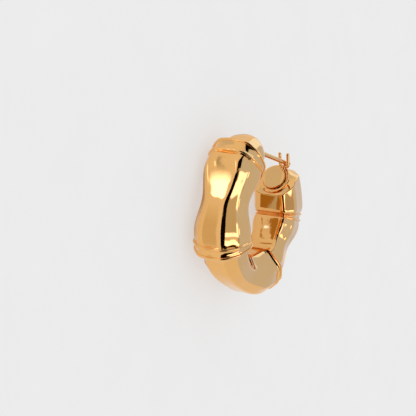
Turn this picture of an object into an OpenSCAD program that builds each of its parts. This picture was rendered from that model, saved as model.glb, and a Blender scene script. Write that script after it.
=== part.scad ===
// Bamboo hoop earring: a fluted tube in five bamboo sections, with a pair of thin rings at each
// knuckle between them, an end plate with a U fork that catches the ear post, and the post itself.
// It lies on its side, as it rests on a surface. X runs from the front of the hoop to its back,
// Y from its lowest point when worn to its top, and Z up, away from the surface.

/* [Front stub] */
// Length along the centre line, from the end plate to the first knuckle
front_stub_l = 2.4; // [2.2:0.1:2.6]
// Angle that the stub bends through
front_stub_bend = 6; // [4:1:10]
// Widest radius of the stub
front_stub_r = 3.95; // [3.8:0.05:4.3]
// Radius at its end
front_end_r = 2.7; // [2.65:0.05:3]

/* [Front section] */
// Length along the centre line
front_l = 11.4; // [10.6:0.1:12]
// Angle that the section bends through
front_bend = 35; // [29:1:40]
// Radius of the upper flare
front_top_r = 5.15; // [4.8:0.05:5.3]
// Radius of the waist
front_waist_r = 4.25; // [4:0.05:4.5]
// Radius of the lower flare
front_low_r = 5.15; // [4.9:0.05:5.3]

/* [Bottom section] */
// Length along the centre line
bottom_l = 13.7; // [13:0.1:14.2]
// Angle that the section bends through
bottom_bend = 70; // [66:1:76]
// Radius of the flare below the front section
bottom_front_r = 4.15; // [4:0.05:4.6]
// Radius of the waist
bottom_waist_r = 3.6; // [3.5:0.05:4.2]
// Radius of the flare below the back section
bottom_back_r = 4.65; // [4.5:0.05:5]

/* [Back section] */
// Length along the centre line
back_l = 8.7; // [8:0.1:9.4]
// Angle that the section bends through
back_bend = 27.5; // [22:0.5:30]
// Radius of the lower flare
back_low_r = 4.3; // [4.2:0.05:4.6]
// Radius of the waist
back_waist_r = 3.75; // [3.6:0.05:4.1]
// Radius of the upper flare
back_top_r = 4.45; // [4.3:0.05:4.6]

/* [Back stub] */
// Length along the centre line, from the last knuckle to the crease
back_stub_l = 6.1; // [5.8:0.1:6.4]
// Angle that it bends through up to the crease
back_stub_bend = 20; // [16:1:24]
// Radius of its flare
back_stub_r = 4.65; // [4.5:0.05:4.8]
// Radius at the crease
crease_r = 4.4; // [4.2:0.05:4.5]
// How far the crease lies back on the inner side
crease_back = 1.7; // [1.6:0.05:1.9]
// Length of the taper from the crease to the end plate, on the centre line
taper_l = 0.65; // [0.6:0.05:0.8]
// Angle between the crease and the end plate
taper_bend = 33; // [30:1:34]
// How far the end plate lies inwards of the centre line
end_inset = 0.5; // [0.4:0.05:0.6]
// Radius of the rim round the end plate
back_end_r = 2.9; // [2.85:0.05:3]

/* [Knuckles] */
// Angles that the tube turns through at the four knuckles, front to back
knuckle_turns = [40, 22, 33.5, 23]; // [10:0.5:44]
// Lengths of the four turns along the centre line
knuckle_ls = [4, 2.4, 3.2, 2]; // [2:0.1:4.4]
// Radii of the rings at the four knuckles
knuckle_rs = [5.25, 5.35, 5, 4.5]; // [4.4:0.05:5.4]
// How round the rings of the four knuckles are, from fluted at 0 to round at 1
knuckle_rounds = [0.5, 0.4, 0.2, 0]; // [0:0.1:0.6]
// How far the tube lies outwards at the last knuckle
knuckle_out = 0.55; // [0.4:0.05:0.6]
// Distances between the two rings of each knuckle, on the centre line
ring_gaps = [1.25, 0.95, 0.8, 0.8]; // [0.7:0.05:1.3]
// Width of one ring
ring_w = 0.3; // [0.25:0.05:0.35]
// Height of a ring above the band between the two
ring_h = 0.25; // [0.15:0.05:0.3]
// Depth of the groove between a ring and the flare beside it
groove_d = 0.35; // [0.25:0.05:0.45]
// Length over which a flare rounds down into that groove
flare_round = 1.1; // [0.9:0.1:1.3]

/* [Flutes] */
// Directions of the eight ridges: two outer, two near the outside, two near the inside, two inner
ridge_outer = 27; // [24:1:30]
ridge_upper = 59; // [55:1:64]
ridge_lower = 98; // [94:1:102]
ridge_inner = 153; // [150:1:156]
// How much wider the outer facet is at the first knuckle, as an angle on each side
front_spread = 6; // [0:1:8]
// The same where it is widest, a little below that knuckle
front_bulge = 13; // [6:1:14]
// How much wider the facets beside it are at the second knuckle, as an angle
front_upper_spread = 4; // [0:1:6]
// How much further in the lower ridges lie from the last knuckle on
back_lower_turn = 12; // [0:1:14]
// How much wider the innermost facet is on the back section, as an angle on each side
mid_inner_spread = 21; // [14:1:22]
// The same from the last knuckle on
back_inner_spread = 14; // [0:1:16]
// Height of the section over its width
flat_ratio = 0.97; // [0.95:0.005:1]
// Width of the rounding along a ridge, as an angle
ridge_round = 4; // [2:0.5:5]
// Hollow in the middle of each facet, as a part of the radius
facet_hollow = 0.012; // [0:0.002:0.02]

/* [End plates and catch] */
// Radius of the round end plates
plate_r = 2.15; // [2:0.05:2.2]
// Thickness of the end plates
plate_t = 0.7; // [0.6:0.05:0.8]
// How far the plates stand out of their seats
plate_proud = 0.4; // [0.3:0.05:0.45]
// Clearance of a plate in its seat, and of the post at the plate
fit_gap = 0.06; // [0.04:0.01:0.1]
// Distance from the middle of the plate out to the bar of the fork
fork_out = 2.6; // [2.55:0.05:2.8]
// Distance of the fork from the middle plane of the hoop, to its upper side
fork_side = 1.25; // [0.9:0.05:1.3]
// Length of its two prongs
prong_l = 2.4; // [2:0.1:2.5]
// Width between the middles of the two prongs
fork_w = 1.65; // [1.65:0.05:1.8]
// Thickness of a prong
prong_d = 0.5; // [0.5:0.02:0.56]
// Diameter of the ear post
post_d = 0.85; // [0.7:0.05:0.85]
// How far the post reaches past the middle of the fork
post_past = 2; // [1.6:0.1:2.2]

/* [Hidden] */
gold = "#d9a755";

// The centre line: a row for each arc, front to back
first_heading = -171;
function turn(i) = [knuckle_ls[i], knuckle_turns[i]];
ARCS = [
    // length, bend
    [front_stub_l, front_stub_bend],
    turn(0),
    [front_l, front_bend],
    turn(1),
    [bottom_l, bottom_bend],
    turn(2),
    [back_l, back_bend],
    turn(3),
    [back_stub_l, back_stub_bend],
    [taper_l, taper_bend]
];
function chord(l, bend) = l * sin(bend / 2) / (bend / 2 * PI / 180);
function after(at, l, bend) = [
    at.x + chord(l, bend) * cos(at[2] + bend / 2),
    at.y + chord(l, bend) * sin(at[2] + bend / 2),
    at[2] + bend,
    at[3] + l
];
// Where each arc starts: x, y, heading, distance from the front end
STARTS = [
    for (i = 0, at = [0, 0, first_heading, 0]; i <= len(ARCS);
         at = after(at, ARCS[min(i, len(ARCS) - 1)][0], ARCS[min(i, len(ARCS) - 1)][1]), i = i + 1) at
];
line_l = STARTS[len(ARCS)][3];
function arc_at(s) = max([for (i = [0:len(ARCS) - 1]) if (i == 0 || s >= STARTS[i][3]) i]);
function on_line(s) = let (i = arc_at(s), d = s - STARTS[i][3])
    d == 0 ? STARTS[i] : after(STARTS[i], d, ARCS[i][1] * d / ARCS[i][0]);
// Distances of the middles of the four knuckles
KNUCKLES = [for (i = [1, 3, 5, 7]) (STARTS[i][3] + STARTS[i + 1][3]) / 2];

// Lengthwise shape. A station is [distance, radius, roundness, straight way on from there,
// way back of its innermost point]
function ease(t) = (1 - cos(180 * min(max(t, 0), 1))) / 2;
function quarter(t) = sqrt(1 - pow(1 - min(max(t, 0), 1), 2));
function spaced(i, n) = (1 - cos(180 * i / n)) / 2;
function groove_r(i) = knuckle_rs[i] - groove_d;
// Distance from the middle of a knuckle to the foot of the flare beside it
function half_l(i) = ring_gaps[i] / 2 + ring_w / 2 + 0.1;

// A section between two knuckles: flares that round down to the grooves, and a waist between
function section_r(x, l, r1, waist, r2, g1, g2) =
    (x < l / 2
        ? r1 + (waist - r1) * ease((x - flare_round) / (l / 2 - flare_round))
        : r2 + (waist - r2) * ease((l - flare_round - x) / (l / 2 - flare_round)))
    - (r1 - g1) * (1 - quarter(x / flare_round))
    - (r2 - g2) * (1 - quarter((l - x) / flare_round));
function section(k, n, r1, waist, r2) = let (
        a = KNUCKLES[k] + half_l(k),
        l = KNUCKLES[k + 1] - half_l(k + 1) - a
    )
    [for (i = [0:n]) let (u = spaced(i, n))
        [a + l * u, section_r(l * u, l, r1, waist, r2, groove_r(k), groove_r(k + 1)), 0, 0, 0]];

// A knuckle: two rounded rings with a shallow hollow band between them
band_hollow = 0.06;
function ring(k, side) = [for (a = [-90:45:90])
    [KNUCKLES[k] + side * ring_gaps[k] / 2 + ring_w / 2 * sin(a), knuckle_rs[k] - ring_h * (1 - cos(a)), knuckle_rounds[k], 0, 0]];
function knuckle(k) = concat(
    ring(k, -1),
    [[KNUCKLES[k], knuckle_rs[k] - ring_h - band_hollow, knuckle_rounds[k], 0, 0]],
    ring(k, 1)
);

// The seat of an end plate, from its floor outwards: distance out of the end, radius
seat_r = plate_r + 1.8 * fit_gap;
seat_d = plate_t - plate_proud + fit_gap;
SEAT = [
    // out, radius
    [-seat_d, seat_r],
    [0, seat_r],
    [0, seat_r + 0.25]
];
// The front stub: its end rim, and a dome that widens to the first knuckle
function front_stub() = let (l = KNUCKLES[0] - half_l(0), dome = l - flare_round, n = 8) concat(
    [for (row = SEAT) [0, row.y, 1, -row.x, 0]],
    [for (i = [0:n]) let (t = 1 - spaced(i, 2 * n) * 2)
        [dome * (1 - t), front_stub_r + (front_end_r - front_stub_r) * (1 - sqrt(1 - t * t)), t * t, 0, 0]],
    [for (i = [1:5]) let (x = i / 5)
        [dome + flare_round * x, front_stub_r - (front_stub_r - groove_r(0)) * (1 - quarter(1 - x)), 0, 0, 0]]
);
// The back stub: a flare, and nearly straight sides that end in the crease
function back_stub() = let (a = KNUCKLES[3] + half_l(3), l = line_l - taper_l - a, n = 8) concat(
    [for (i = [0:5]) let (x = pow(i / 5, 2))
        [a + flare_round * x, back_stub_r - (back_stub_r - groove_r(3)) * (1 - quarter(x)), 0, 0, 0]],
    [for (i = [1:n]) let (x = i / n)
        [a + flare_round + (l - flare_round) * x, back_stub_r + (crease_r - back_stub_r) * x, 0, 0, crease_back * x]]
);
// The rim round the back plate: a groove, a rounded collar and the seat
collar_h = 0.26;
COLLAR = [
    // out, radius
    [-collar_h, back_end_r],
    [-collar_h + 0.06, back_end_r - 0.12],
    [-0.12, back_end_r],
    [-0.03, back_end_r - 0.06],
    [0, back_end_r - 0.16]
];
STATIONS = concat(
    front_stub(),
    knuckle(0),
    section(0, 22, front_top_r, front_waist_r, front_low_r),
    knuckle(1),
    section(1, 24, bottom_front_r, bottom_waist_r, bottom_back_r),
    knuckle(2),
    section(2, 18, back_low_r, back_waist_r, back_top_r),
    knuckle(3),
    back_stub()
);
RIM = concat(COLLAR, [for (i = [len(SEAT) - 1:-1:0]) SEAT[i]]);

// Directions of the ridges on the upper half, which change with the distance
RIDGE_ROWS = [
    // distance, outer, upper, lower, inner
    [KNUCKLES[0], ridge_outer + front_spread, ridge_upper + front_spread / 2, ridge_lower, ridge_inner],
    [KNUCKLES[0] + 3.5, ridge_outer + front_bulge, ridge_upper + 1, ridge_lower, ridge_inner],
    [KNUCKLES[0] + 5.8, ridge_outer + front_bulge * 0.8, ridge_upper, ridge_lower, ridge_inner],
    [KNUCKLES[0] + 7.8, ridge_outer, ridge_upper, ridge_lower, ridge_inner],
    [KNUCKLES[1], ridge_outer, ridge_upper + front_upper_spread, ridge_lower, ridge_inner],
    [KNUCKLES[1] + 4, ridge_outer, ridge_upper, ridge_lower, ridge_inner],
    [KNUCKLES[2] - 2, ridge_outer, ridge_upper, ridge_lower, ridge_inner],
    [KNUCKLES[2] + 3, ridge_outer, ridge_upper, ridge_lower, ridge_inner - mid_inner_spread],
    [KNUCKLES[3], ridge_outer, ridge_upper, ridge_lower + back_lower_turn, ridge_inner - back_inner_spread]
];
function column(rows, i) = [for (row = rows) [row[0], row[i]]];
function ridge(s, i) = lookup(s, column(RIDGE_ROWS, i));
function ridges(s) = let (upper = [for (i = [1:4]) ridge(s, i)]) concat(upper, [for (i = [3:-1:0]) 360 - upper[i]]);

// Section across: eight rounded ridges and a slightly hollow facet between each pair
function corner(a) = [flat_ratio * cos(a), sin(a)];
function facet_mid(a, b) = (corner(a + ridge_round) + corner(b - ridge_round)) / 2 * (1 - facet_hollow);
function section_at(s) = let (a = ridges(s))
    [for (i = [0:7]) each
        [corner(a[i] - ridge_round), corner(a[i] + ridge_round), facet_mid(a[i], a[(i + 1) % 8])]];
AROUND = len(section_at(0));

// How far the tube lies outwards of the centre line
OUTWARDS = [
    // distance, way outwards
    [(KNUCKLES[2] + KNUCKLES[3]) / 2, 0],
    [KNUCKLES[3], knuckle_out],
    [line_l - taper_l, 0]
];
function lift(s, q, on = 0) = let (c = on_line(s))
    [c.x + q.x * sin(c[2]) + on * cos(c[2]), c.y - q.x * cos(c[2]) + on * sin(c[2]), q.y];
// A loop of points round a station
function loop(st) = let (out = lookup(st[0], OUTWARDS))
    [for (p = section_at(st[0])) let (q = p / norm(p))
        lift(st[0], st[1] * ((1 - st[2]) * p + st[2] * q) + [out, 0], st[3] - st[4] * max(0, -q.x))];
// A round loop at the back end; its points lie between those of the flutes and evenly spaced ones
function rim_loop(row) = let (s = section_at(line_l)) [for (j = [0:AROUND - 1])
    let (a = 360 * (j + 1) / AROUND, q = s[j] / norm(s[j]) + [cos(a), sin(a)])
        lift(line_l, row.y * q / norm(q) - [end_inset, 0], row.x)];

// All loops: those of the stations, the straight taper from the crease to the rim, and the rim's
CREASE = loop(STATIONS[len(STATIONS) - 1]);
RIM_FOOT = rim_loop(RIM[0]);
taper_n = 6;
LOOPS = concat(
    [for (st = STATIONS) loop(st)],
    [for (i = [1:taper_n - 1]) CREASE + (RIM_FOOT - CREASE) * i / taper_n],
    [for (row = RIM) rim_loop(row)]
);

// How it rests: on the rings of the first three knuckles
function lowest(s, r) = lift(s, r * corner(ridge_round - ridge(s, 3)) + [lookup(s, OUTWARDS), 0]);
FEET = [
    lowest(KNUCKLES[0] + ring_gaps[0] / 2, knuckle_rs[0]),
    lowest(KNUCKLES[1] - ring_gaps[1] / 2, knuckle_rs[1]),
    lowest(KNUCKLES[2] - ring_gaps[2] / 2, knuckle_rs[2])
];
REST = cross(FEET[1] - FEET[0], FEET[2] - FEET[0]);
UP = REST / norm(REST) * sign(REST.z);
SIDE = cross([0, 1, 0], UP) / norm(cross([0, 1, 0], UP));
TURN = [SIDE, cross(UP, SIDE), UP];

ENDS = [lift(0, [0, 0], seat_d), lift(line_l, [-end_inset, 0], -seat_d)];
RAW = [for (p = concat([for (row = LOOPS) each row], ENDS)) TURN * p];
LOW = [for (k = [0:2]) min([for (p = RAW) p[k]])];
HIGH = [for (k = [0:2]) max([for (p = RAW) p[k]])];
ORIGIN = [(LOW.x + HIGH.x) / 2, (LOW.y + HIGH.y) / 2, LOW.z];
HULL_POINTS = [for (p = RAW) p - ORIGIN];
function vertex(i, j) = i * AROUND + j % AROUND;
HULL_FACES = concat(
    [for (i = [0:len(LOOPS) - 2], j = [0:AROUND - 1])
        each [[vertex(i, j), vertex(i, j + 1), vertex(i + 1, j)],
              [vertex(i, j + 1), vertex(i + 1, j + 1), vertex(i + 1, j)]]],
    [for (j = [0:AROUND - 1]) [len(RAW) - 2, vertex(0, j + 1), vertex(0, j)]],
    [for (j = [0:AROUND - 1]) [len(RAW) - 1, vertex(len(LOOPS) - 1, j), vertex(len(LOOPS) - 1, j + 1)]]
);

// Puts a piece that is placed from the centre line where the resting hoop has it
module at_rest() {
    multmatrix([
        [TURN[0].x, TURN[0].y, TURN[0].z, -ORIGIN.x],
        [TURN[1].x, TURN[1].y, TURN[1].z, -ORIGIN.y],
        [TURN[2].x, TURN[2].y, TURN[2].z, -ORIGIN.z]
    ]) children();
}
// Local frame of an end: Z out of the end, X outwards from the hoop, origin on the rim
module on_end(s, out, inset = 0) {
    c = on_line(s);
    translate([c.x, c.y, 0]) rotate([0, 0, c[2] - 90]) rotate([-90 * out, 0, 0])
        translate([-inset, 0, 0]) children();
}

module bamboo_hoop() {
    color(gold) polyhedron(points = HULL_POINTS, faces = HULL_FACES, convexity = 10);
}

// A round end plate in its seat, with a rounded edge
module plate() {
    edge = 0.08;
    translate([0, 0, plate_proud - plate_t]) rotate_extrude($fn = 96)
        polygon([
            [0, 0], [plate_r, 0], [plate_r, plate_t - edge],
            [plate_r - edge, plate_t], [0, plate_t]
        ]);
}

// The U fork: a stem from the plate's edge over the rim, a bar, and two prongs that point up as worn
fork_z = prong_d / 2 + fit_gap;
fork_lean = STARTS[len(ARCS)][2] - 90;
function fork_point(side, up) = [fork_out + up * cos(fork_lean), -fork_side - side, fork_z + up * sin(fork_lean)];
module rod(a, b) {
    hull() {
        translate(a) sphere(d = prong_d, $fn = 24);
        translate(b) sphere(d = prong_d, $fn = 24);
    }
}
module fork() {
    spread = fork_w / 2;
    rod([plate_r - 0.5, -fork_side, fork_z], fork_point(0, 0));
    rod(fork_point(-spread, 0), fork_point(spread, 0));
    for (side = [-spread, spread]) rod(fork_point(side, 0), fork_point(side, prong_l));
}

module catch_plate() {
    color(gold) at_rest() on_end(line_l, 1, end_inset) {
        plate();
        fork();
    }
}

module front_end_plate() {
    color(gold) at_rest() on_end(0, -1) plate();
}

// The post runs from the front plate through the fork; its ends are round
post_up = (prong_d + post_d) / 2 + 2.5 * fit_gap;
POST_FROM = lift(0, [0, 0], -plate_proud - fit_gap - post_d / 2);
POST_AT = let (p = fork_point(0, post_up)) lift(line_l, [p.x - end_inset, -p.y], p.z);
POST_WAY = POST_AT - POST_FROM;
post_l = norm(POST_WAY) + post_past - post_d / 2;
module ear_post() {
    color(gold) at_rest() translate(POST_FROM)
        rotate([0, acos(POST_WAY.z / norm(POST_WAY)), atan2(POST_WAY.y, POST_WAY.x)]) {
            cylinder(h = post_l, d = post_d, $fn = 48);
            sphere(d = post_d, $fn = 48);
            translate([0, 0, post_l]) sphere(d = post_d, $fn = 48);
        }
}

bamboo_hoop();
catch_plate();
front_end_plate();
ear_post();
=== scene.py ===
"""A bamboo hoop earring in polished yellow gold, lying on its side on a pale table.

The hoop is worked out again from the sizes of its sections, finer than the CAD solid and with rounded
ridges. Lengths in the tables are millimetres and angles degrees; meshes are metres in the row frame.
"""

import bpy
import numpy as np
from mathutils import Matrix, Vector


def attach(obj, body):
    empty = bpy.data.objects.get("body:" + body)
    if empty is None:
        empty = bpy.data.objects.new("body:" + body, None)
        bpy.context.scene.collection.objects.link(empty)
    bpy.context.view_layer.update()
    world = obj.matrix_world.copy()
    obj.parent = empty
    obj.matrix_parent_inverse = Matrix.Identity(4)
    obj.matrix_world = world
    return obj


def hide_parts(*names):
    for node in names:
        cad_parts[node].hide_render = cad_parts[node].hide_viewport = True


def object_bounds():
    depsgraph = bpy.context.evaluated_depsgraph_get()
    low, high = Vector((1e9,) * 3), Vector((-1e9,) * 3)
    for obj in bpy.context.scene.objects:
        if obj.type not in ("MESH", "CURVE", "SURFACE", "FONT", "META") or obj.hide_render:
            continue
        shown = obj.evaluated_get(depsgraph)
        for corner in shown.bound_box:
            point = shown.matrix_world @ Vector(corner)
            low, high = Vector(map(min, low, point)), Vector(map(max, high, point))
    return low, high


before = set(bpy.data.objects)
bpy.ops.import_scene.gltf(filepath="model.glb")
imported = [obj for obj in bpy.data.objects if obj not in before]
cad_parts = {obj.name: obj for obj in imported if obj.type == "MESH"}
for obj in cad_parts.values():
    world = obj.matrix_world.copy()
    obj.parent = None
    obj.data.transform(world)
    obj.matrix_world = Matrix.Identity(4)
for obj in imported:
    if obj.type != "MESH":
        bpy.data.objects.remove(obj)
CAD_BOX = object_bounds()
MM = 0.001

# Sizes of the sections, front to back, as in the CAD source; rows is how fine a section's mesh is
FRONT_STUB = dict(length=2.4, bend=6, r=3.95, end_r=2.7)
FRONT = dict(length=11.4, bend=35, r1=5.15, waist=4.25, r2=5.15, rows=90)
BOTTOM = dict(length=13.7, bend=70, r1=4.15, waist=3.6, r2=4.65, rows=110)
BACK = dict(length=8.7, bend=27.5, r1=4.3, waist=3.75, r2=4.45, rows=80)
BACK_STUB = dict(length=6.1, bend=20, r=4.65, crease_r=4.4, crease_back=1.7)
TAPER = dict(length=0.65, bend=33, inset=0.5, end_r=2.9)
FIRST_HEADING = -171

# The four knuckles, front to back, and the rings and grooves that they all have
KNUCKLE_TURNS = (40, 22, 33.5, 23)
KNUCKLE_LENGTHS = (4, 2.4, 3.2, 2)
KNUCKLE_RADII = (5.25, 5.35, 5, 4.5)
KNUCKLE_ROUNDS = (0.5, 0.4, 0.2, 0)
RING_GAPS = (1.25, 0.95, 0.8, 0.8)
KNUCKLE_OUT = 0.55
RING_W, RING_H, RING_FOOT = 0.3, 0.25, 0.1
BAND_HOLLOW = 0.1
GROOVE_D, FLARE_ROUND = 0.28, 1.1

# Flutes, end plates and the rim round the back one
FLAT_RATIO, RIDGE_ROUND, RIDGE_BLEND = 0.97, 4, 0.8
PLATE_R, PLATE_T, PLATE_PROUD, PLATE_EDGE, PLATE_CROWN = 2.15, 0.7, 0.4, 0.1, 0.02
FIT_GAP = 0.06
SEAT_R = PLATE_R + 1.8 * FIT_GAP
SEAT_D = PLATE_T - PLATE_PROUD + FIT_GAP
FRONT_RIM_W, CREASE_ROUND = 0.25, 0.22
RIM_GROOVE_AT, RIM_GROOVE_D, COLLAR_H = (-0.26, -0.21, -0.18), 0.1, 0.08

# Fork and post. The fork's places go by PRONG_D, as in the CAD source; its wire is a little thicker
FORK_OUT, FORK_SIDE, PRONG_L, FORK_W, PRONG_D = 2.6, 1.25, 2.4, 1.65, 0.5
FORK_WIRE_D, FORK_BEND_R, STEM_IN = 0.58, 0.35, 0.3
POST_D, POST_PAST, POST_ABOVE_FORK = 0.85, 2, 0.15


def unit(v):
    """Vectors divided by their lengths."""
    return v / np.linalg.norm(v, axis=-1, keepdims=True)


def knuckle_arc(k):
    """The arc of knuckle k: its length and bend."""
    return (KNUCKLE_LENGTHS[k], KNUCKLE_TURNS[k])


# The centre line: arcs that follow each other smoothly
ARCS = np.array([
    # length, bend
    (FRONT_STUB["length"], FRONT_STUB["bend"]),
    knuckle_arc(0),
    (FRONT["length"], FRONT["bend"]),
    knuckle_arc(1),
    (BOTTOM["length"], BOTTOM["bend"]),
    knuckle_arc(2),
    (BACK["length"], BACK["bend"]),
    knuckle_arc(3),
    (BACK_STUB["length"], BACK_STUB["bend"]),
    (TAPER["length"], TAPER["bend"]),
], float)


def chord(length, bend):
    """How far apart the ends of an arc are: length times sin(half its bend) over half its bend."""
    return length * np.sinc(bend / 360)


def arc_starts():
    """Where each arc starts: x, y, heading and distance from the front end."""
    rows = [(0.0, 0.0, float(FIRST_HEADING), 0.0)]
    for length, bend in ARCS:
        x, y, heading, s = rows[-1]
        way = np.radians(heading + bend / 2)
        c = chord(length, bend)
        rows.append((x + c * np.cos(way), y + c * np.sin(way), heading + bend, s + length))
    return np.array(rows)


STARTS = arc_starts()
LINE_L = STARTS[-1, 3]
CREASE_AT = LINE_L - TAPER["length"]
KNUCKLES = [(STARTS[i, 3] + STARTS[i + 1, 3]) / 2 for i in (1, 3, 5, 7)]


def on_line(s):
    """Place and heading at distance s: from the start of its arc, along the chord of the part gone."""
    s = np.asarray(s, float)
    i = np.clip(np.searchsorted(STARTS[:-1, 3], s, side="right") - 1, 0, len(ARCS) - 1)
    x, y, heading, start = np.moveaxis(STARTS[i], -1, 0)
    gone = s - start
    bend = ARCS[i, 1] * gone / ARCS[i, 0]
    way = np.radians(heading + bend / 2)
    c = chord(gone, bend)
    return x + c * np.cos(way), y + c * np.sin(way), np.radians(heading + bend)


def lift(s, out, side, on=0.0):
    """A point at distance s: out from the hoop's middle, side to its upper side, on straight ahead."""
    x, y, h = on_line(s)
    xs = x + out * np.sin(h) + on * np.cos(h)
    ys = y - out * np.cos(h) + on * np.sin(h)
    return np.stack(np.broadcast_arrays(xs, ys, side), -1)


def outwards(s):
    """How far the tube lies outwards of the centre line: only round the last knuckle."""
    middle = (KNUCKLES[2] + KNUCKLES[3]) / 2
    return np.interp(s, (middle, KNUCKLES[3], CREASE_AT), (0, KNUCKLE_OUT, 0))


RIDGE_ROWS = np.array([
    # distance, outer, upper, lower and inner ridge
    (KNUCKLES[0], 33, 62, 98, 153),
    (KNUCKLES[0] + 3.5, 40, 60, 98, 153),
    (KNUCKLES[0] + 5.8, 37.4, 59, 98, 153),
    (KNUCKLES[0] + 7.8, 27, 59, 98, 153),
    (KNUCKLES[1], 27, 63, 98, 153),
    (KNUCKLES[1] + 4, 27, 59, 98, 153),
    (KNUCKLES[2] - 2, 27, 59, 98, 153),
    (KNUCKLES[2] + 3, 27, 59, 98, 132),
    (KNUCKLES[3], 27, 59, 110, 139),
])


def ridges(s):
    """Directions of the eight ridges at distance s, averaged over RIDGE_BLEND before and after it."""
    near = np.asarray(s)[..., None] + np.linspace(-RIDGE_BLEND, RIDGE_BLEND, 9)
    at, *columns = RIDGE_ROWS.T
    half = np.stack([np.interp(near, at, column).mean(-1) for column in columns], -1)
    return np.concatenate([half, 360 - half[..., ::-1]], -1)


def ease(t):
    """A cosine ease: (1 - cos(pi t)) / 2."""
    return (1 - np.cos(np.pi * np.clip(t, 0, 1))) / 2


def quarter(t):
    """The rise of a quarter circle, 0 to 1."""
    return np.sqrt(1 - (1 - np.clip(t, 0, 1)) ** 2)


def stations(s, r, roundness=0.0, on=0.0, back=0.0):
    """Rows of distance, radius, roundness, way on from there, and way back of the inner side."""
    return np.stack(np.broadcast_arrays(np.asarray(s, float), r, roundness, on, back), 1)


def groove_r(k):
    """Radius of the grooves beside the rings of knuckle k."""
    return KNUCKLE_RADII[k] - GROOVE_D


def knuckle_half(k):
    """From the middle of knuckle k to where its flares start."""
    return RING_GAPS[k] / 2 + RING_W / 2 + RING_FOOT


def section(k, size):
    """Between knuckles k and k + 1: a cosine ease from each flare to the waist, less a quarter round
    into each groove."""
    start = KNUCKLES[k] + knuckle_half(k)
    length = KNUCKLES[k + 1] - knuckle_half(k + 1) - start
    x = length * ease(np.linspace(0, 1, size["rows"]))
    run = length / 2 - FLARE_ROUND
    front = size["r1"] + (size["waist"] - size["r1"]) * ease((x - FLARE_ROUND) / run)
    back = size["r2"] + (size["waist"] - size["r2"]) * ease((length - FLARE_ROUND - x) / run)
    r = np.where(x < length / 2, front, back)
    r = r - (size["r1"] - groove_r(k)) * (1 - quarter(x / FLARE_ROUND))
    r = r - (size["r2"] - groove_r(k + 1)) * (1 - quarter((length - x) / FLARE_ROUND))
    return stations(start + x, r)


def knuckle(k):
    """Two half-round rings, and between them a shallow hollow band that is part of a circle."""
    a = np.radians(np.linspace(-90, 90, 13))
    ring = np.stack([RING_W / 2 * np.sin(a), KNUCKLE_RADII[k] - RING_H * (1 - np.cos(a))], 1)
    band = np.linspace(-1, 1, 13)[1:-1]
    across = (RING_GAPS[k] - RING_W) / 2 * band
    hollow = KNUCKLE_RADII[k] - RING_H - BAND_HOLLOW * RING_GAPS[k] * (1 - band ** 2)
    shift = (RING_GAPS[k] / 2, 0)
    rows = np.concatenate([ring - shift, np.stack([across, hollow], 1), ring + shift])
    return stations(KNUCKLES[k] + rows[:, 0], rows[:, 1], KNUCKLE_ROUNDS[k])


def front_stub():
    """An elliptic dome that widens from the end to the first knuckle, turning from round to fluted."""
    seat = stations(0, [SEAT_R, SEAT_R, SEAT_R + FRONT_RIM_W], 1, [SEAT_D, 0, 0])
    dome = KNUCKLES[0] - knuckle_half(0) - FLARE_ROUND
    r, end_r = FRONT_STUB["r"], FRONT_STUB["end_r"]
    t = np.cos(np.linspace(0, np.pi / 2, 31))
    rise = r + (end_r - r) * (1 - np.sqrt(1 - t * t))
    x = np.linspace(0, 1, 13)[1:]
    lip = stations(dome + FLARE_ROUND * x, r - (r - groove_r(0)) * (1 - quarter(1 - x)))
    return np.concatenate([seat, stations(dome * (1 - t), rise, t * t), lip])


def back_stub():
    """A flare, and nearly straight sides up to the crease, which leans back on the inner side."""
    start = KNUCKLES[3] + knuckle_half(3)
    length = CREASE_AT - start
    r, crease_r = BACK_STUB["r"], BACK_STUB["crease_r"]
    x = np.linspace(0, 1, 14) ** 2
    flare = stations(start + FLARE_ROUND * x, r - (r - groove_r(3)) * (1 - quarter(x)))
    y = np.linspace(0, 1, 34)[1:]
    side_at = start + FLARE_ROUND + (length - FLARE_ROUND) * y
    sides = stations(side_at, r + (crease_r - r) * y, back=BACK_STUB["crease_back"] * y)
    return np.concatenate([flare, sides])


STATIONS = np.concatenate([
    front_stub(),
    knuckle(0),
    section(0, FRONT),
    knuckle(1),
    section(1, BOTTOM),
    knuckle(2),
    section(2, BACK),
    knuckle(3),
    back_stub(),
])

PER_FACET, EVEN_SHARE = 20, 0.35


def next_ridges(ridge):
    """For each ridge the one after it, going round: the last one's is the first, a full turn on."""
    return np.concatenate([ridge[..., 1:], ridge[..., :1] + 360], -1)


def around(ridge):
    """Directions of the points round a row: PER_FACET to a facet, closer together near its ridges."""
    t = np.arange(PER_FACET) / PER_FACET
    t = EVEN_SHARE * t + (1 - EVEN_SHARE) * ease(t)
    angle = ridge[..., None] + (next_ridges(ridge) - ridge)[..., None] * t
    return np.radians(angle.reshape(*ridge.shape[:-1], -1))


def fluted(angle, ridge, soft=22.0, hollow=0.012, least=0.02):
    """A closed fluted outline of radius about 1: its ways outwards and sideways at each angle.

    A facet is a straight line, so its radius is cos(half its width) over cos(angle - its middle). A
    power mean of the eight lines rounds the ridges, and lines that face away hardly count in it. A hump
    (1 - u^2)^2 across each facet hollows it a little."""
    after = next_ridges(ridge)
    middle = np.radians(ridge + after)[..., None] / 2
    half = np.radians(after - ridge)[..., None] / 2
    off = (angle[..., None, :] - middle + np.pi) % (2 * np.pi) - np.pi
    line = np.clip(np.cos(off), least, 1) / np.cos(half - np.radians(RIDGE_ROUND))
    r = (line ** soft).sum(-2) ** (-1 / soft)
    dip = np.clip(1 - (off / half) ** 2, 0, 1) ** 2
    r = r - hollow * dip.sum(-2)
    return FLAT_RATIO * r * np.cos(angle), r * np.sin(angle)


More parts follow.
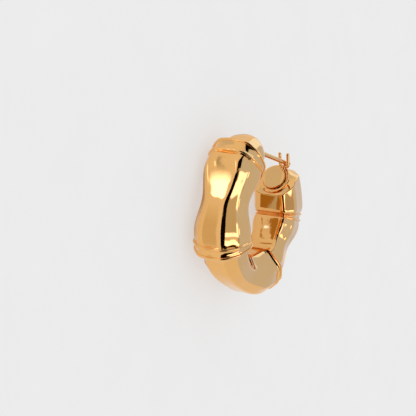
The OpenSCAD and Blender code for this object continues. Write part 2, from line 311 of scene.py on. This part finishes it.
def round_corner(a, c, b, d, n):
    """A quadratic curve past the corner c, from distance d before it on the line from a, to d after it
    on the line to b."""
    start = c + unit(a - c) * d
    end = c + unit(b - c) * d
    t = np.linspace(0, 1, n).reshape(-1, *[1] * np.ndim(c))
    return (1 - t) ** 2 * start + 2 * t * (1 - t) * c + t ** 2 * end


def station_rows():
    """The stations carried along the centre line: rows along it, columns around it."""
    s, r, roundness, on, back = STATIONS.T[..., None]
    ridge = ridges(STATIONS[:, 0])
    out, side = fluted(around(ridge), ridge)
    size = np.hypot(out, side)
    keep = r * (1 - roundness + roundness / size)
    return lift(s, keep * out + outwards(s), keep * side, on - back * np.maximum(0, -out / size))


def rim_rows():
    """Round rows at the back end: a groove, a collar that is half an ellipse, and the plate's seat."""
    end_r = TAPER["end_r"]
    groove = list(zip(RIM_GROOVE_AT, (end_r, end_r - RIM_GROOVE_D, end_r - RIM_GROOVE_D)))
    a = np.radians(np.linspace(0, 180, 19))
    middle, half = (end_r + SEAT_R) / 2, (end_r - SEAT_R) / 2
    collar = np.stack([COLLAR_H * np.sin(a) - COLLAR_H, middle + half * np.cos(a)], 1)
    profile = np.concatenate([groove, collar, [(-SEAT_D, SEAT_R)]])
    out, r = profile.T[..., None]
    angle = around(ridges(LINE_L))
    return lift(LINE_L, r * np.cos(angle) - TAPER["inset"], r * np.sin(angle), out)


def hoop_rows():
    """The stations, a rounded crease, straight lines from it to the rim, and the rim."""
    rows, rim = station_rows(), rim_rows()
    crease, foot = rows[-1], rim[0]
    fillet = round_corner(rows[-4], crease, foot, CREASE_ROUND, 9)
    t = np.linspace(0, 1, 16)[1:-1, None, None]
    taper = fillet[-1] + (foot - fillet[-1]) * t
    return np.concatenate([rows[:-2], fillet, taper, rim])


def lowest(s, r):
    """The point of a ring on its lower ridge, where it can touch the table."""
    a = np.radians(RIDGE_ROUND - ridges(s)[2])
    return lift(s, r * FLAT_RATIO * np.cos(a) + outwards(s), r * np.sin(a))


# It rests on three rings: the second of the first knuckle, and the first of the next two
RESTS_ON = ((0, 1), (1, -1), (2, -1))
FEET = [lowest(KNUCKLES[k] + way * RING_GAPS[k] / 2, KNUCKLE_RADII[k]) for k, way in RESTS_ON]
UP = unit(np.cross(FEET[1] - FEET[0], FEET[2] - FEET[0]))
UP = UP * np.sign(UP[2])
SIDE = unit(np.cross((0, 1, 0), UP))
TURN = np.array([SIDE, np.cross(UP, SIDE), UP])


def resting_origin(rows):
    """The design frame's point that is the row frame's origin: the rows' middle, at their lowest."""
    low, high = (rows @ TURN.T).min((0, 1)), (rows @ TURN.T).max((0, 1))
    return np.array([(low[0] + high[0]) / 2, (low[1] + high[1]) / 2, low[2]])


HOOP_ROWS = hoop_rows()
ORIGIN = resting_origin(HOOP_ROWS)


def place(points):
    """Design millimetres to the row frame, in metres, as the source has the resting hoop."""
    return (points @ TURN.T - ORIGIN) * MM


def skin(rows):
    """Faces of a grid of rows, closed round each row, with a fan to a middle point at both ends."""
    n, m = rows.shape[:2]
    i, j = np.meshgrid(np.arange(n - 1), np.arange(m), indexing="ij")
    k = (j + 1) % m
    quads = np.stack([i * m + j, i * m + k, (i + 1) * m + k, (i + 1) * m + j], -1).reshape(-1, 4)
    j = np.arange(m)
    k = (j + 1) % m
    first = np.stack([np.full(m, n * m), k, j], -1)
    last = np.stack([np.full(m, n * m + 1), (n - 1) * m + j, (n - 1) * m + k], -1)
    verts = np.concatenate([rows.reshape(-1, 3), rows[0].mean(0)[None], rows[-1].mean(0)[None]])
    return verts, quads.tolist() + first.tolist() + last.tolist()


def gold_piece(name, *grids, sharp=45):
    """One piece from one or more grids; bars that are soldered on run a little into the plate."""
    verts, faces, base = [], [], 0
    for rows in grids:
        grid_verts, grid_faces = skin(place(rows))
        verts.append(grid_verts)
        faces += [[i + base for i in face] for face in grid_faces]
        base += len(grid_verts)
    mesh = bpy.data.meshes.new(name)
    mesh.from_pydata(np.concatenate(verts).tolist(), [], faces)
    mesh.validate()
    mesh.shade_smooth()
    mesh.set_sharp_from_angle(angle=np.radians(sharp))
    piece = bpy.data.objects.new(name, mesh)
    bpy.context.scene.collection.objects.link(piece)
    return piece


# A direction that no bar here runs along, from which the sides of a bar are worked out
SKEW_WAY = (0.31, 0.17, 0.93)


def tube(path, radius, points=24):
    """A round bar along a path: circles square to it, and a half ball at each end, whose circles have
    radius r cos(a) at r sin(a)."""
    path = np.asarray(path, float)
    way = unit(np.gradient(path, axis=0))
    a = np.radians(np.linspace(0, 89, 9)[1:])[:, None]
    start = path[0] - way[0] * radius * np.sin(a[::-1])
    end = path[-1] + way[-1] * radius * np.sin(a)
    centre = np.concatenate([start, path, end])
    r = radius * np.concatenate([np.cos(a[::-1]), np.ones((len(path), 1)), np.cos(a)])[:, None]
    d = np.concatenate([np.repeat(way[:1], len(a), 0), way, np.repeat(way[-1:], len(a), 0)])
    u = unit(np.cross(d, SKEW_WAY))
    v = np.cross(d, u)
    t = (2 * np.pi * np.arange(points) / points)[None, :, None]
    return centre[:, None] + r * (u[:, None] * np.cos(t) + v[:, None] * np.sin(t))


def back_end(p):
    """A point of the back end: p[0] outwards, p[1] to the hoop's lower side, p[2] out of the end."""
    p = np.asarray(p, float)
    return lift(LINE_L, p[..., 0] - TAPER["inset"], -p[..., 1], p[..., 2])


def front_end(p):
    """A point of the front end: p[0] outwards, p[1] to the hoop's upper side, p[2] out of the end."""
    p = np.asarray(p, float)
    return lift(0.0, p[..., 0], p[..., 1], -p[..., 2])


def plate_rows():
    """A plate turned about Z: its floor, its side, a quarter-round edge, and a face raised as 1 - u^2,
    where u is the share of the face's radius. Floor and face start close to the middle."""
    flat_r = PLATE_R - PLATE_EDGE
    a = np.radians(np.linspace(0, 90, 9))
    floor = [(r, PLATE_PROUD - PLATE_T) for r in (0.05, PLATE_R)]
    side = np.stack([flat_r + PLATE_EDGE * np.cos(a), PLATE_PROUD + PLATE_EDGE * (np.sin(a) - 1)], 1)
    u = np.array((0.95, 0.85, 0.7, 0.5, 0.25, 0.02))
    face = np.stack([flat_r * u, PLATE_PROUD + PLATE_CROWN * (1 - u * u)], 1)
    r, h = np.concatenate([floor, side, face]).T[..., None]
    t = 2 * np.pi * np.arange(96) / 96
    return np.stack(np.broadcast_arrays(r * np.cos(t), r * np.sin(t), h), -1)


def fork_point(side, up):
    """A point of the fork: its prongs point straight up when the hoop is worn."""
    lean = np.radians(STARTS[-1, 2] - 90)
    above = PRONG_D / 2 + FIT_GAP
    return np.array((FORK_OUT + up * np.cos(lean), -FORK_SIDE - side, above + up * np.sin(lean)))


def fork_rows():
    """A stem over the rim, and a U of round wire with its two corners bent."""
    spread = FORK_W / 2
    left, right = fork_point(-spread, 0), fork_point(spread, 0)
    left_tip, right_tip = fork_point(-spread, PRONG_L), fork_point(spread, PRONG_L)
    corner_a = round_corner(left_tip, left, right, FORK_BEND_R, 9)
    corner_b = round_corner(left, right, right_tip, FORK_BEND_R, 9)
    prong_a = np.linspace(left_tip, corner_a[0], 8)[:-1]
    prong_b = np.linspace(corner_b[-1], right_tip, 8)[1:]
    foot = fork_point(0, 0)
    stem = np.linspace((PLATE_R - STEM_IN, *foot[1:]), foot, 6)
    wire = np.concatenate([prong_a, corner_a, corner_b, prong_b])
    return tube(back_end(stem), FORK_WIRE_D / 2), tube(back_end(wire), FORK_WIRE_D / 2)


def post_path():
    """A straight line from the front plate through the fork and a little past it."""
    start = front_end((0, 0, PLATE_PROUD + FIT_GAP + POST_D / 2))
    at_fork = back_end(fork_point(0, (PRONG_D + POST_D) / 2 + POST_ABOVE_FORK))
    return np.linspace(start, at_fork + unit(at_fork - start) * (POST_PAST - POST_D / 2), 12)


hoop = gold_piece("hoop", HOOP_ROWS[:, ::-1])
catch = gold_piece("catch", back_end(plate_rows()), *fork_rows())
front_plate = gold_piece("front_plate", front_end(plate_rows()))
post = gold_piece("post", tube(post_path(), POST_D / 2))
STANDS_FOR = (
    (hoop, "bamboo_hoop"),
    (catch, "catch_plate"),
    (front_plate, "front_end_plate"),
    (post, "ear_post"),
)
for piece, node in STANDS_FOR:
    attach(piece, "root")
    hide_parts(node)


# Places of Object coordinates and of an attribute's number among the outputs of their nodes
OBJECT_COORDS, ATTRIBUTE_NUMBER = 3, 2


class Link:
    """A socket with arithmetic: an expression on it adds the Math nodes it needs."""

    def __init__(self, tree, socket):
        self.tree, self.socket = tree, socket

    def math(self, operation, *values):
        """One Math node on numbers or links."""
        return self.tree.node("ShaderNodeMath", dict(operation=operation), *values)[0]

    def __add__(self, other):
        return self.math("ADD", self, other)

    def __mul__(self, other):
        return self.math("MULTIPLY", self, other)

    def __sub__(self, other):
        return self.math("SUBTRACT", self, other)

    def __rsub__(self, other):
        return self.math("SUBTRACT", other, self)

    __radd__, __rmul__ = __add__, __mul__


class Tree:
    """A material and its nodes."""

    def __init__(self, name):
        self.material = bpy.data.materials.new(name)
        self.material.use_nodes = True
        self.tree = self.material.node_tree
        self.tree.nodes.clear()

    def node(self, kind, settings=None, *values, **named):
        """Adds a node: its settings first, then values or links for its sockets, by place or name."""
        made = self.tree.nodes.new(kind)
        for key, value in (settings or {}).items():
            setattr(made, key, value)
        by_name = [(key.replace("_", " "), value) for key, value in named.items()]
        for key, value in [*enumerate(values), *by_name]:
            socket = made.inputs[key]
            if isinstance(value, Link):
                self.tree.links.new(value.socket, socket)
            elif value is not None:
                socket.default_value = value
        return [Link(self, o) for o in made.outputs if o.enabled]

    def between(self, share, a, b):
        """A colour between a and b, which are sockets 6 and 7 of a Mix node for colours."""
        return self.node("ShaderNodeMix", dict(data_type="RGBA"), share, *[None] * 5, a, b)[0]


def polished_gold():
    """Mirror-polished yellow gold, with haze from polishing and fine rub marks in tone and gloss."""
    t = Tree("polished_gold")
    where = t.node("ShaderNodeTexCoord")[OBJECT_COORDS]
    haze = t.node("ShaderNodeTexNoise", None, where, Scale=420.0, Detail=4.0)[0]
    rub = t.node("ShaderNodeTexNoise", None, where, Scale=2600.0, Detail=2.0)[0]
    tone = t.between(haze, (0.92, 0.50, 0.165, 1), (0.96, 0.54, 0.195, 1))
    height = haze * 0.7 + rub * 0.3
    bump = t.node("ShaderNodeBump", None, Strength=0.12, Distance=0.08 * MM, Height=height)[0]
    shader = t.node("ShaderNodeBsdfPrincipled", None, Base_Color=tone, Metallic=1.0,
                    Roughness=haze * 0.05 + 0.03, Normal=bump)[0]
    t.node("ShaderNodeOutputMaterial", None, shader)
    return t.material


GOLD = polished_gold()
for piece in (hoop, catch, front_plate, post, *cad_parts.values()):
    piece.data.materials.clear()
    piece.data.materials.append(GOLD)


def table_material():
    """A matt pale table with a faint grain. It shines a little itself, so shadows on it stay soft."""
    t = Tree("pale_table")
    where = t.node("ShaderNodeTexCoord")[OBJECT_COORDS]
    grain = t.node("ShaderNodeTexNoise", None, where, Scale=90.0, Detail=3.0)[0]
    tone = t.between(grain, (0.40, 0.40, 0.40, 1), (0.44, 0.44, 0.44, 1))
    shader = t.node("ShaderNodeBsdfPrincipled", None, Base_Color=tone, Roughness=0.7,
                    Specular_IOR_Level=0.0, Emission_Color=(1, 1, 1, 1), Emission_Strength=0.505)[0]
    t.node("ShaderNodeOutputMaterial", None, shader)
    return t.material


# The table's width and how far it lies under the hoop, in metres
TABLE_W, TABLE_BELOW = 2, 0.02 * MM
bpy.ops.mesh.primitive_plane_add(size=TABLE_W, location=(0, 0, -TABLE_BELOW))
table = bpy.context.object
table.name = "table"
table.data.materials.append(table_material())

# The camera looks as the photograph does at a hoop that stands upright; here hoop and camera lie over.
# It stands THETA round from the hoop's side and ELEV above it. FAR_PX is its distance in pixels, and
# SEEN_AT the pixel of the first knuckle's middle. It sees from SEEN_FROM to SEEN_TO, in metres
THETA, ELEV = np.radians((59.08, 14.94))
FRAME_PX, PX_PER_MM, FAR_PX, SEEN_AT = 416, 5.75, 1070, (237.03, 162.20)
SENSOR_W_MM, SEEN_FROM, SEEN_TO = 36, 0.01, 10


def upright_to_row(v, point=False):
    """Upright x back, y away, z up to the row frame; a point is measured from the first knuckle."""
    v = np.array((v[0], v[2], -v[1]))
    if point:
        return (v + lift(KNUCKLES[0], 0.0, 0.0)) @ TURN.T - ORIGIN
    return v @ TURN.T


back_way = np.array((-np.sin(THETA) * np.cos(ELEV), -np.cos(THETA) * np.cos(ELEV), np.sin(ELEV)))
right_way = np.array((np.cos(THETA), -np.sin(THETA), 0))
up_way = np.array((np.sin(THETA) * np.sin(ELEV), np.cos(THETA) * np.sin(ELEV), np.cos(ELEV)))
right_px, up_px = SEEN_AT[0] - FRAME_PX / 2, FRAME_PX / 2 - SEEN_AT[1]
eye = (FAR_PX * back_way - right_px * right_way - up_px * up_way) / PX_PER_MM

camera = bpy.data.objects.new("camera", bpy.data.cameras.new("camera"))
bpy.context.scene.collection.objects.link(camera)
camera.data.sensor_width, camera.data.lens = SENSOR_W_MM, SENSOR_W_MM * FAR_PX / FRAME_PX
camera.data.clip_start, camera.data.clip_end = SEEN_FROM, SEEN_TO
axes = Matrix([upright_to_row(v) for v in (right_way, up_way, back_way)]).transposed().to_4x4()
axes.translation = Vector(upright_to_row(eye, point=True) * MM)
camera.matrix_world = axes
bpy.context.scene.camera = camera


def soft_light(name, colour, soft):
    """A shine that fades in as 3x^2 - 2x^3 from a card's edge inwards, over the share soft of the way."""
    t = Tree(name)
    inside = t.node("ShaderNodeAttribute", dict(attribute_name="inside"))[ATTRIBUTE_NUMBER]
    x = inside.math("MINIMUM", inside * (1 / soft), 1.0)
    emission = t.node("ShaderNodeEmission", None, (*colour, 1), 1.0)[0]
    clear = t.node("ShaderNodeBsdfTransparent")[0]
    shader = t.node("ShaderNodeMixShader", None, x * x * (3 - x * 2), clear, emission)[0]
    t.node("ShaderNodeOutputMaterial", None, shader)
    return t.material


def seen_from_hoop(right, up):
    """The way, in the row frame, to a place that many degrees right of the camera and above it."""
    a, b = np.radians((right, up))
    way = right_way * np.sin(a) * np.cos(b) + up_way * np.sin(b) + back_way * np.cos(a) * np.cos(b)
    return upright_to_row(way)


def card(name, soft, colour, corners, middle):
    """A card that only the gold's reflections show: it lights nothing else and casts no shadow."""
    n = len(corners)
    mesh = bpy.data.meshes.new(name)
    mesh.from_pydata([*corners.tolist(), middle.tolist()], [], [(i, (i + 1) % n, n) for i in range(n)])
    mesh.attributes.new("inside", "FLOAT", "POINT").data.foreach_set("value", [0.0] * n + [1.0])
    mesh.materials.append(soft_light(name, colour, soft))
    made = bpy.data.objects.new(name, mesh)
    made.visible_camera = made.visible_diffuse = made.visible_shadow = False
    bpy.context.scene.collection.objects.link(made)


def air_card(name, distance, soft, colour, *corners):
    """A card at a distance from the hoop; its corners are degrees right of the camera and above it."""
    middle = np.array((0, 0, (CAD_BOX[0][2] + CAD_BOX[1][2]) / 2))
    ways = np.array([seen_from_hoop(*corner) for corner in corners])
    card(name, soft, colour, ways * distance + middle, unit(ways.mean(0)) * distance + middle)


CARD_STEP, PATCH_ABOVE = 0.02, 0.3


def table_card(name, start, end, width, soft, colour, above):
    """A strip with round ends that lies flat over the table: a half circle at each end."""
    start, end = np.array(start), np.array(end)
    way = unit(end - start)
    t = np.radians(np.linspace(-90, 90, 13)) + np.arctan2(way[1], way[0])
    cap = width / 2 * np.stack([np.cos(t), np.sin(t)], 1)
    flat = np.concatenate([end + cap, start - cap])
    flat = np.concatenate([flat, np.full((len(flat), 1), above)], 1) * MM
    card(name, soft, colour, flat, flat.mean(0))


def table_patch(name, soft, colour, middle, *corners):
    """A flat patch over the table with its own middle point, where it is brightest."""
    flat = np.array([(x, y, PATCH_ABOVE) for x, y in (middle, *corners)]) * MM
    card(name, soft, colour, flat[1:], flat[0])


COOL, PALE, DARK = (0.60, 0.70, 0.94), (1.0, 1.28, 1.85), (0.004, 0.002, 0.002)
AIR_CARDS = [
    # name, distance in metres, soft edge, colour, corners
    ("dark_card", 0.34, 0.08, DARK, (-35, 16), (23, 16), (23, -35), (44, -42), (53, -58), (36, -66),
     (10, -62), (-35, -50)),
    ("upper_dark_card", 0.36, 0.08, DARK, (-21, 14), (42, 13), (46, 24), (53, 34), (70, 41), (90, 46),
     (84, 51), (60, 51), (20, 50), (-8, 46), (-22, 40)),
    ("white_card", 0.30, 0.25, (1.9, 2.0, 2.6), (34, 7), (55, 7), (57, -22), (34, -22)),
    ("white_strip", 0.29, 0.4, (1.9, 2.0, 2.6), (21, -10), (40, -10), (40, -22), (21, -22)),
    ("low_white_card", 0.30, 0.4, (2.6, 2.6, 3.0), (20, -26), (76, -28), (76, -38), (20, -36)),
    ("glint_card", 0.28, 0.5, (2.2, 2.2, 2.0), (65, -13), (75, -13), (75, 1), (65, 1)),
    ("grey_card", 0.31, 0.3, (0.48, 0.46, 0.45), (46, -18), (74, -18), (74, -32), (46, -32)),
    ("soft_grey_card", 0.42, 0.4, (0.56, 0.57, 0.54), (16, -16), (16, 18), (42, 18), (42, -16)),
    ("cool_card", 0.70, 0.15, COOL, (34, 60), (95, 64), (145, 56), (164, 4), (172, -12), (172, -38),
     (150, -41), (134, -42), (117, -44), (100, -48), (53, -36), (32, -12)),
    ("pale_card", 0.45, 0.35, PALE, (82, 32), (125, 30), (132, 16), (170, 8), (170, 52), (120, 66),
     (78, 58)),
    ("right_card", 0.45, 0.3, (0.64, 0.80, 1.25), (122, 7), (172, 7), (172, -19), (122, -19)),
]
TABLE_CARDS = [
    # name, start, end, width, soft edge, colour: millimetres on the table
    ("outer_card", (-22.8, 7.5), (-24.8, -8), 8, 0.6, (0.66, 0.61, 0.52)),
    ("disc_card", (4.8, 14.2), (5.2, 14.4), 10, 0.2, (0.64, 0.69, 0.80)),
    ("front_card", (-7.2, 16), (-9, 30), 4, 0.6, (0.64, 0.68, 0.76)),
    ("edge_shade", (-8.5, 10), (-11.5, -2), 3.5, 0.5, (0.45, 0.36, 0.24)),
    ("streak", (-12.5, 20.8), (-19.4, 15.4), 2, 0.8, (0.46, 0.48, 0.50)),
    ("pale_spot", (-15.2, 16.8), (-17.4, 15.3), 1.1, 0.9, (2.0, 2.1, 2.3)),
    ("edge_strip", (-11, 11.8), (-16.4, 9.6), 1.2, 0.6, (1.6, 1.7, 1.9)),
    ("far_strip", (-20, 27.5), (-60, 42), 6, 0.5, (1.9, 2.0, 2.3)),
    ("gold_a", (1.4, -2.5), (-1.8, -4.2), 1.7, 0.3, (0.36, 0.19, 0.03)),
    ("gold_b", (-3.4, -5.3), (-9, -8.5), 2.0, 0.3, (0.36, 0.19, 0.03)),
    ("grey_gap", (-2.2, -4.6), (-2.7, -5.0), 1.2, 0.2, (0.50, 0.49, 0.49)),
    ("gold_c", (-1.2, 6.8), (-5.4, 2.2), 5.2, 0.15, (0.38, 0.21, 0.04)),
    ("gold_line", (2.3, 3.4), (-1.4, 0.9), 0.5, 0.3, (0.36, 0.19, 0.03)),
    ("low_gold", (4.8, 2.6), (4.2, 8.6), 1.1, 0.3, (0.40, 0.22, 0.06)),
    ("white_spot", (-1.95, 1.2), (-2.1, 1.3), 0.5, 0.8, (1.6, 2.4, 4.5)),
]
TABLE_PATCHES = [
    # name, soft edge, colour, middle, corners
    ("bowl", 1.0, (2.8, 3.1, 3.9), (-21.2, 11.5), (-14.8, 9.8), (-17.8, 10.3), (-20.2, 11.0),
     (-21.2, 11.0), (-23.4, 12.5), (-27, 14.8), (-30, 18), (-22.4, 17.0), (-19.2, 16.2), (-15.6, 12.6)),
]
for row in AIR_CARDS:
    air_card(*row)
for number, row in enumerate(TABLE_CARDS):
    table_card(*row, CARD_STEP * (number + 1))
for row in TABLE_PATCHES:
    table_patch(*row)

WORLD_LIGHT = 0.79
world = bpy.data.worlds.new("studio")
bpy.context.scene.world = world
world.use_nodes = True
world.node_tree.nodes["Background"].inputs["Color"].default_value = (1, 1, 1, 1)
world.node_tree.nodes["Background"].inputs["Strength"].default_value = WORLD_LIGHT
bpy.context.scene.view_settings.view_transform = "Standard"
